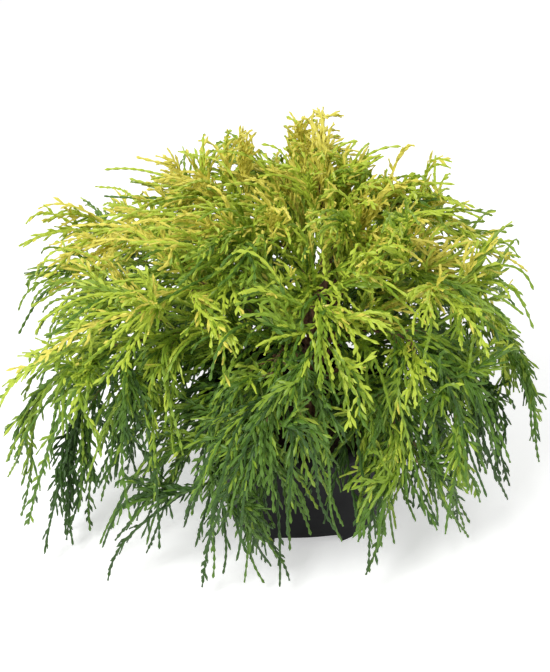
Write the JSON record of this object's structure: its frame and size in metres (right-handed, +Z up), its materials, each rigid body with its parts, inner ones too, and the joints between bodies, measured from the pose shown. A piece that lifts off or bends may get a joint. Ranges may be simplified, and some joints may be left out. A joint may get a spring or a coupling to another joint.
{
  "type": "potted weeping conifer",
  "caption": "Thread-leaved sawara cypress, a wide weeping mound of golden green sprays on a short branched trunk in a round black nursery pot.",
  "frame": {"origin": "centre of the pot's flat underside, on the ground the pot stands on", "axes": "+Z up through the pot; -Y towards the front of the picture, with the base cut-out at its middle; +X towards the right of the picture, where the crown reaches less far than to the left"},
  "size_m": [0.4243, 0.3471, 0.3239],
  "materials": {
    "pot_plastic": "satin",
    "potting_mix": "matte",
    "bark": "matte",
    "foliage": "matte"
  },
  "bodies": {
    "root": {"crown_bough_1": "bark", "crown_bough_2": "bark", "crown_bough_3": "bark", "crown_bough_4": "bark", "crown_bough_5": "bark", "crown_mass_1": "foliage", "crown_mass_2": "foliage", "crown_mass_3": "foliage", "crown_mass_4": "foliage", "crown_mass_5": "foliage", "pot": "pot_plastic", "shoulder_bough_1": "bark", "shoulder_bough_2": "bark", "shoulder_bough_3": "bark", "shoulder_bough_4": "bark", "shoulder_bough_5": "bark", "shoulder_bough_6": "bark", "shoulder_bough_7": "bark", "shoulder_mass_1": "foliage", "shoulder_mass_2": "foliage", "shoulder_mass_3": "foliage", "shoulder_mass_4": "foliage", "shoulder_mass_5": "foliage", "shoulder_mass_6": "foliage", "shoulder_mass_7": "foliage", "skirt_bough_1": "bark", "skirt_bough_2": "bark", "skirt_bough_3": "bark", "skirt_bough_4": "bark", "skirt_bough_5": "bark", "skirt_bough_6": "bark", "skirt_mass_1": "foliage", "skirt_mass_2": "foliage", "skirt_mass_3": "foliage", "skirt_mass_4": "foliage", "skirt_mass_5": "foliage", "skirt_mass_6": "foliage", "soil": "potting_mix", "top_tuft": "foliage", "trunk": "bark", "upper_bough_1": "bark", "upper_bough_2": "bark", "upper_bough_3": "bark", "upper_bough_4": "bark", "upper_bough_5": "bark", "upper_bough_6": "bark", "upper_mass_1": "foliage", "upper_mass_2": "foliage", "upper_mass_3": "foliage", "upper_mass_4": "foliage", "upper_mass_5": "foliage", "upper_mass_6": "foliage"}
  },
  "joints": []
}
